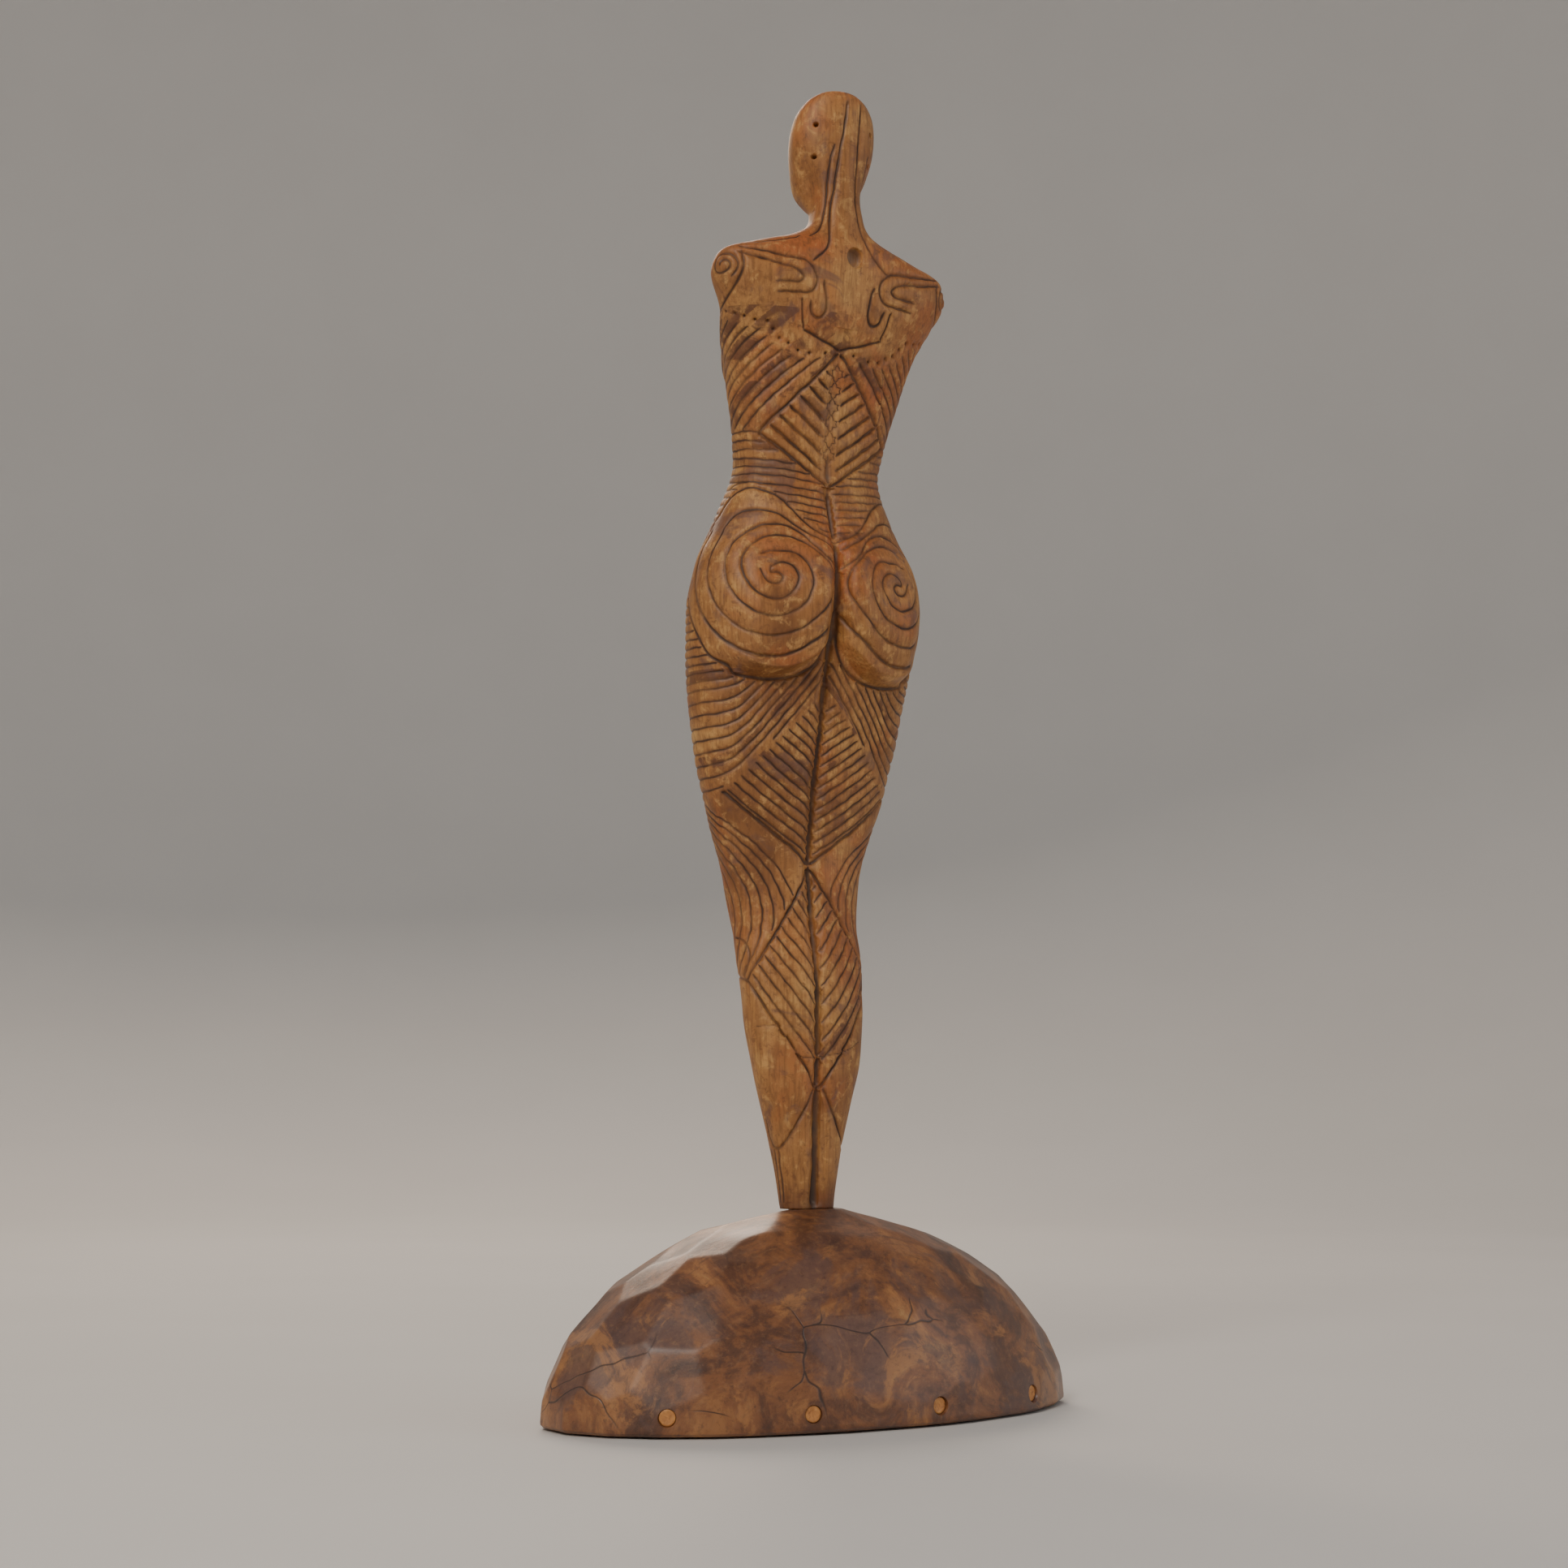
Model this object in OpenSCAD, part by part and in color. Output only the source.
// Carved standing female figure on a hewn burl-wood base, in millimetres.
// The figure faces -Y and its back faces +Y, +X is its own left side and +Z is up.
// The origin is on the floor, under the middle of the base.

/* [Figure] */
// Height of the top of the head above the floor
overall_h = 295; // [235:5:400]
// Scale of the figure's widths and depths
girth = 1.0; // [0.8:0.05:1.2]
// How far the lower edge of the buttocks stands out over the thighs
ledge = 4.6; // [2:0.2:6]
// How far the breasts stand out
breast = 4.2; // [1:0.2:6]
// Depth of the furrow down the middle of the back and between the legs
furrow = 1.5; // [0:0.1:2.5]
// Diameter of the round tenon under the foot
tenon_d = 8; // [6:0.5:9]
// Length of the tenon
tenon_l = 14; // [8:1:18]

/* [Base] */
// Width along X of the oval that the base is hewn to
base_w = 126; // [100:2:160]
// Depth along Y of that oval
base_d = 67; // [56:1:90]
// Height of the crown of the base above the floor
base_h = 44.5; // [36:0.5:60]
// Fullness of the dome, where 0.5 is an ellipse and more is a leaner side
dome_power = 0.57; // [0.45:0.01:0.7]
// Radius of the worn edge round the bottom of the base
edge_r = 1.2; // [0.5:0.1:3]

/* [Rim plugs] */
// Number of round wooden plugs along each long side of the base
plugs_a_side = 4; // [1:1:4]
// Distance between neighbouring plugs, along the rim
plug_pitch = 30.8; // [12:0.2:31]
// How far each row of plugs is off the middle of its side, along the rim
plug_shift = -2.6; // [-6:0.2:6]
// Diameter of a plug
plug_d = 3.6; // [2.5:0.1:5]
// Length of a plug
plug_l = 8; // [5:0.5:12]
// How far a plug's outer face lies below the surface of the base
plug_recess = 1.0; // [0.8:0.1:1.5]
// Height of the plugs' centres above the floor
plug_z = 4.4; // [4.4:0.1:8]

/* [Holes in the figure] */
// Diameter of the blind hole between the shoulders
nape_hole_d = 3.8; // [1.5:0.1:4.2]
// Depth of that hole
nape_hole_l = 3; // [2:0.5:6]
// Diameter of the small holes through the edges of the head
lobe_hole_d = 1.0; // [0.8:0.1:1.5]

/* [Fixing] */
// Diameter of the shank of the fixing screw
screw_d = 3.4; // [3:0.1:4]
// Diameter of the screw's head
screw_head_d = 8; // [6:0.5:9]
// Diameter of the washer under the screw's head
washer_d = 10; // [9:0.5:12]
// Thickness of the pad under the base
pad_t = 1.8; // [1.6:0.1:2.4]
// How far the pad stands below the rim of the base
pad_proud = 0.5; // [0.3:0.1:0.8]

/* [Hidden] */
plug_count = 2 * plugs_a_side;
PLUGS = [for (i = [1 : plug_count]) str("rim_plug_", i < 10 ? "0" : "", i)];

// Radial clearance of a peg or screw in its hole
fit = 0.05;
// Heights of the fixing, from the floor up
seat_z = 8;
washer_t = 1;
screw_head_t = 2.6;
tip_z = base_h - 3;

// Outline of the figure, from the sole of the foot to the top of the head:
// height, half width, y of the sides, y of the back, y of the front, squareness.
OUTLINE = [
    [44.5, 6.2, -1.5, 2.9, -6.0, 2.2],
    [60, 9.0, -2.0, 3.8, -7.6, 2.2],
    [76, 13.2, -2.0, 4.8, -9.0, 2.2],
    [96, 15.0, -4.0, 4.4, -13.4, 2.2],
    [108, 15.2, -7.0, 2.2, -17.0, 2.2],
    [120, 17.4, -8.2, 0.8, -18.6, 2.2],
    [137, 22.8, -7.2, 3.0, -18.6, 2.2],
    [151, 26.0, -6.4, 6.2, -19.0, 2.2],
    [163, 27.8, -5.2, 8.4, -18.6, 2.2],
    [178, 28.9, -2.0, 13.0, -18.0, 2.15],
    [188, 27.0, -1.6, 13.4, -18.2, 2.15],
    [196, 23.0, -1.8, 11.2, -17.2, 2.15],
    [207, 18.6, -2.2, 9.0, -13.6, 2.2],
    [212, 18.0, -1.6, 9.0, -12.2, 2.2],
    [226, 21.4, 1.4, 11.6, -8.6, 2.2],
    [237, 24.2, 3.6, 15.0, -8.0, 2.2],
    [244, 26.8, 7.8, 17.4, -3.4, 2.2],
    [250, 29.8, 9.6, 18.2, -0.8, 2.3],
    [253.5, 29.4, 10.0, 18.4, 1.2, 2.3],
    [256, 27.4, 10.6, 18.4, 2.8, 2.1],
    [258.4, 20.4, 11.2, 18.3, 4.2, 1.9],
    [260.6, 12.4, 11.6, 18.0, 5.4, 1.9],
    [263.4, 7.6, 11.8, 17.6, 6.2, 2.0],
    [267, 6.3, 11.8, 17.4, 6.0, 2.0],
    [270, 6.6, 9.8, 17.4, 2.8, 2.0],
    [273, 7.9, 8.0, 17.3, 0.4, 1.9],
    [277, 9.2, 8.6, 17.2, 0.0, 1.9],
    [283, 10.2, 9.9, 17.3, 0.8, 1.9],
    [289, 9.6, 11.4, 17.5, 3.4, 1.9],
    [292.6, 7.6, 12.6, 17.2, 6.8, 2.0],
    [294.4, 4.8, 13.6, 16.6, 10.2, 2.0],
    [295, 2.0, 14.2, 15.6, 12.8, 2.0]
];
TOP = OUTLINE[len(OUTLINE) - 1][0];
SOLE = OUTLINE[0][0];
// The outline is drawn for a figure 295 high on a base 44.5 high
stretch = (overall_h - base_h) / (TOP - SOLE);

// Heights of the drilled holes, and how far the ones in the head lie from the middle
NAPE_Z = 256.4;
LOBE_Z = [279, 286.2];
LOBE_X = 7.2;

// Rings of the carving: each zone gives its lower height and the step between rings
ZONES = [[44.5, 4.2], [150, 2.4], [158, 1.5], [170, 3.2], [224, 2], [250, 1.2],
         [272, 2.4], [289, 1.2], [295, 1]];
COLUMNS = 32;

// Buttocks and breasts
SEAT_X = 15;
SEAT_Z = 161;
BREAST_X = 13;
BREAST_Z = 234;

function row_at(z, i = 0) = i >= len(OUTLINE) - 2 || OUTLINE[i + 1][0] > z ? i : row_at(z, i + 1);
function slope(i, c) =
    let (a = max(0, i - 1), b = min(len(OUTLINE) - 1, i + 1))
    (OUTLINE[b][c] - OUTLINE[a][c]) / (OUTLINE[b][0] - OUTLINE[a][0]);
// Smooth curve through column c of the outline
function outline(z, c) =
    let (i = row_at(z), p = OUTLINE[i], q = OUTLINE[i + 1], d = q[0] - p[0], t = (z - p[0]) / d)
    p[c] * (2 * pow(t, 3) - 3 * t * t + 1) + q[c] * (3 * t * t - 2 * pow(t, 3))
    + d * (slope(i, c) * (pow(t, 3) - 2 * t * t + t) + slope(i + 1, c) * (pow(t, 3) - t * t));

function step(t) = let (u = min(1, max(0, t))) u * u * (3 - 2 * u);
function power(v, n) = sign(v) * pow(abs(v), n);

// Height of the fold under the buttocks at x
function fold(x) = SEAT_Z + 6 * pow((abs(x) - SEAT_X) / 12, 2);
// How far the buttocks stand out from the outline
function buttocks(x, z) =
    let (rise = z - fold(x))
    step(rise / 2.2) * (1 - step((rise - 4) / 30)) * ledge * (1 - exp(-pow(x / 3.2, 2)))
    * (1 - step((abs(x) - 19) / 10));
// How far the breasts stand out from the outline
function breasts(x, z) =
    let (q = pow((abs(x) - BREAST_X) / 9, 2) + pow((z - BREAST_Z) / (z > BREAST_Z ? 13 : 8), 2))
    q < 1 ? breast * pow(1 - q, 0.8) : 0;
// Furrow between the legs and buttocks and, shallower, along the spine
function furrow_depth(x, z) =
    furrow * exp(-pow(x / 1.6, 2)) * (z < 205 ? 1 : z < 240 ? 0.5 : 0) * step((z - SOLE + 6) / 6);

function ring_point(z, a) =
    let (n = outline(z, 5), x = outline(z, 1) * power(cos(a), 2 / n), s = power(sin(a), 2 / n),
         side = outline(z, 2),
         y = side + s * (s > 0 ? outline(z, 3) - side : side - outline(z, 4)),
         lift = s > 0 ? buttocks(x, z) - furrow_depth(x, z)
                      : (z < 170 ? furrow_depth(x, z) : 0) - breasts(x, z))
    [x * girth, (y + lift * min(1, abs(s) * 1.5)) * girth, base_h + (z - SOLE) * stretch];

HEIGHTS = concat(
    [for (k = [0 : len(ZONES) - 2])
        let (z0 = ZONES[k][0], z1 = ZONES[k + 1][0], n = ceil((z1 - z0) / ZONES[k][1]))
        for (i = [0 : n - 1]) z0 + (z1 - z0) * i / n],
    [TOP]);

// The carved body as one skin: rings joined by triangles, with a point at each end
module carving() {
    rings = [for (z = HEIGHTS) for (k = [0 : COLUMNS - 1]) ring_point(z, 360 * k / COLUMNS)];
    n = len(HEIGHTS);
    sole_point = [0, outline(SOLE, 2) * girth, base_h];
    crown_point = [0, outline(TOP, 2) * girth, overall_h];
    sides = [for (i = [0 : n - 2]) for (k = [0 : COLUMNS - 1])
        let (m = (k + 1) % COLUMNS, a = i * COLUMNS + k, b = i * COLUMNS + m)
        for (t = [[a, a + COLUMNS, b], [b, a + COLUMNS, b + COLUMNS]]) t];
    last = (n - 1) * COLUMNS;
    caps = [for (k = [0 : COLUMNS - 1]) let (m = (k + 1) % COLUMNS)
        for (t = [[k, m, n * COLUMNS], [last + m, last + k, n * COLUMNS + 1]]) t];
    polyhedron(concat(rings, [sole_point, crown_point]), concat(sides, caps), convexity = 6);
}

tenon_y = outline(SOLE, 2) * girth;
tenon_z = base_h - tenon_l;

module figure() color("peru") difference() {
    union() {
        carving();
        translate([0, tenon_y, tenon_z]) cylinder(h = tenon_l + 2, d = tenon_d, $fn = 48);
    }
    translate([0, tenon_y, tenon_z - 1]) cylinder(h = tip_z - tenon_z + 2, d = screw_d + 2 * fit, $fn = 32);
    nape_hole();
    for (side = [-1, 1]) for (z = LOBE_Z) lobe_hole(side, z);
}

// Blind hole drilled forwards into the back, between the shoulders
module nape_hole() {
    translate([0, (outline(NAPE_Z, 3) + 3) * girth, base_h + (NAPE_Z - SOLE) * stretch])
        rotate([90, 0, 0]) cylinder(h = nape_hole_l + 3, d = nape_hole_d, $fn = 32);
}

// Fine hole right through the edge of the head, from front to back
module lobe_hole(side, z) {
    translate([side * LOBE_X * girth, 30 * girth, base_h + (z - SOLE) * stretch])
        rotate([90, 0, 0]) cylinder(h = 40, d = lobe_hole_d, $fn = 24);
}

// Width factor of the dome at height z above the floor
function dome_k(z) =
    pow(1 - pow(min(1, (z - pad_proud) / (base_h - pad_proud)), 2), dome_power);
CROWN_K = 0.18;
DOME_RINGS = 8;
FACETS = 26;
// Turns of the lowest ring above the worn edge and of the highest below the crown
LOW_TURN = 3;
HIGH_TURN = 70;

// Ring heights: the worn edge, then equal turns of the dome's curve up to the flat crown
DOME = concat(
    [[pad_proud, 1 - edge_r / (base_d / 2)]],
    [for (i = [0 : DOME_RINGS])
        let (a = LOW_TURN + i * (HIGH_TURN - LOW_TURN) / DOME_RINGS, z = pad_proud + (base_h - pad_proud) * sin(a))
        [z, dome_k(z)]],
    [[base_h, CROWN_K]]);

// Hewn dome: rings of flat facets, each ring turned half a facet from the next
module dome() {
    points = [for (i = [0 : len(DOME) - 1]) for (k = [0 : FACETS - 1])
        let (a = 360 * (k + ((i + 1) % 2) / 2) / FACETS, f = DOME[i][1])
        [base_w / 2 * f * cos(a), base_d / 2 * f * sin(a), DOME[i][0]]];
    n = len(DOME);
    sides = [for (i = [0 : n - 2]) for (k = [0 : FACETS - 1])
        let (m = (k + 1) % FACETS, a = i * FACETS + k, b = i * FACETS + m)
        for (t = i % 2 == 1 ? [[a, a + FACETS, b], [b, a + FACETS, b + FACETS]]
                            : [[a, b + FACETS, b], [a, a + FACETS, b + FACETS]]) t];
    polyhedron(points, concat(sides,
        [[for (k = [0 : FACETS - 1]) k]],
        [[for (k = [FACETS - 1 : -1 : 0]) (n - 1) * FACETS + k]]), convexity = 4);
}

// Distance along the dome's face at the plugs' height, from the +X end, for every few degrees
RIM_STEP = 3;
function rim_at(a) = dome_k(plug_z) / 2 * [base_w * cos(a), base_d * sin(a)];
RIM = [for (i = 0, s = 0;
            i <= 360 / RIM_STEP;
            s = s + norm(rim_at((i + 1) * RIM_STEP) - rim_at(i * RIM_STEP)), i = i + 1)
    [s, i * RIM_STEP]];
rim_length = RIM[len(RIM) - 1][0];

// Place i of the plugs, one row round the back and one round the front: its distance along
// the rim, its angle, its point on the dome's face and the outward direction
function plug_arc(i) =
    let (row = floor((i - 1) / plugs_a_side), k = (i - 1) % plugs_a_side)
    rim_length * (1 + 2 * row) / 4 + plug_shift + (k - (plugs_a_side - 1) / 2) * plug_pitch;
function plug_angle(i) = lookup(plug_arc(i), RIM);
function plug_point(i) =
    [base_w / 2 * dome_k(plug_z) * cos(plug_angle(i)),
     base_d / 2 * dome_k(plug_z) * sin(plug_angle(i)), plug_z];
function plug_dir(i) = atan2(sin(plug_angle(i)) / base_d, cos(plug_angle(i)) / base_w);

module at_plug(i) {
    translate(plug_point(i)) rotate([0, 0, plug_dir(i)]) rotate([0, 90, 0]) children();
}

module base_dome() color("saddlebrown") difference() {
    dome();
    translate([0, tenon_y, tenon_z - 0.5]) cylinder(h = base_h, d = tenon_d + 2 * fit, $fn = 48);
    translate([0, tenon_y, 0]) cylinder(h = base_h, d = screw_d + 1, $fn = 32);
    translate([0, tenon_y, 0]) cylinder(h = seat_z, d = washer_d + 1, $fn = 48);
    translate([0, 0, pad_proud - 1]) linear_extrude(height = pad_t - pad_proud + 1) pad_outline(fit);
    for (i = [1 : plug_count])
        at_plug(i) translate([0, 0, -plug_l - plug_recess]) cylinder(h = plug_l + 6, d = plug_d, $fn = 32);
}

// Plug i, with its outer face a little below the surface
module rim_plug(i) color("sienna") at_plug(i)
    translate([0, 0, -plug_l - plug_recess]) cylinder(h = plug_l, d = plug_d - 0.04, $fn = 32);

// Outline of the pad: the base's oval, set in from the rim
PAD_MARGIN = 9;
PAD_STEP = 7.5;
module pad_outline(grow) {
    a = base_w / 2 - PAD_MARGIN + grow;
    b = base_d / 2 - PAD_MARGIN + grow;
    polygon([for (t = [0 : PAD_STEP : 360 - PAD_STEP]) [a * cos(t), b * sin(t)]]);
}

module base_pad() color("darkolivegreen")
    linear_extrude(height = pad_t) pad_outline(0);

module screw_washer() color("silver")
    translate([0, tenon_y, seat_z - washer_t]) difference() {
        cylinder(h = washer_t, d = washer_d, $fn = 48);
        translate([0, 0, -1]) cylinder(h = washer_t + 2, d = screw_d + 0.9, $fn = 32);
    }

// Pan-head screw with a cross recess, driven up through the base into the tenon
module fixing_screw() color("gainsboro")
    translate([0, tenon_y, 0]) {
        head_z = seat_z - washer_t - screw_head_t;
        difference() {
            translate([0, 0, head_z]) cylinder(h = screw_head_t, d = screw_head_d, $fn = 48);
            for (a = [0, 90]) rotate([0, 0, a])
                translate([-2.1, -0.5, head_z - 1]) cube([4.2, 1, 2.6]);
        }
        translate([0, 0, head_z + screw_head_t - 0.01])
            cylinder(h = tip_z - 4 - head_z - screw_head_t, d = screw_d, $fn = 32);
        translate([0, 0, tip_z - 4.02]) cylinder(h = 4, d1 = screw_d, d2 = 0.6, $fn = 32);
    }

figure();
base_dome();
fixing_screw();
screw_washer();
base_pad();
for (i = [1 : plug_count])
    rim_plug(i);
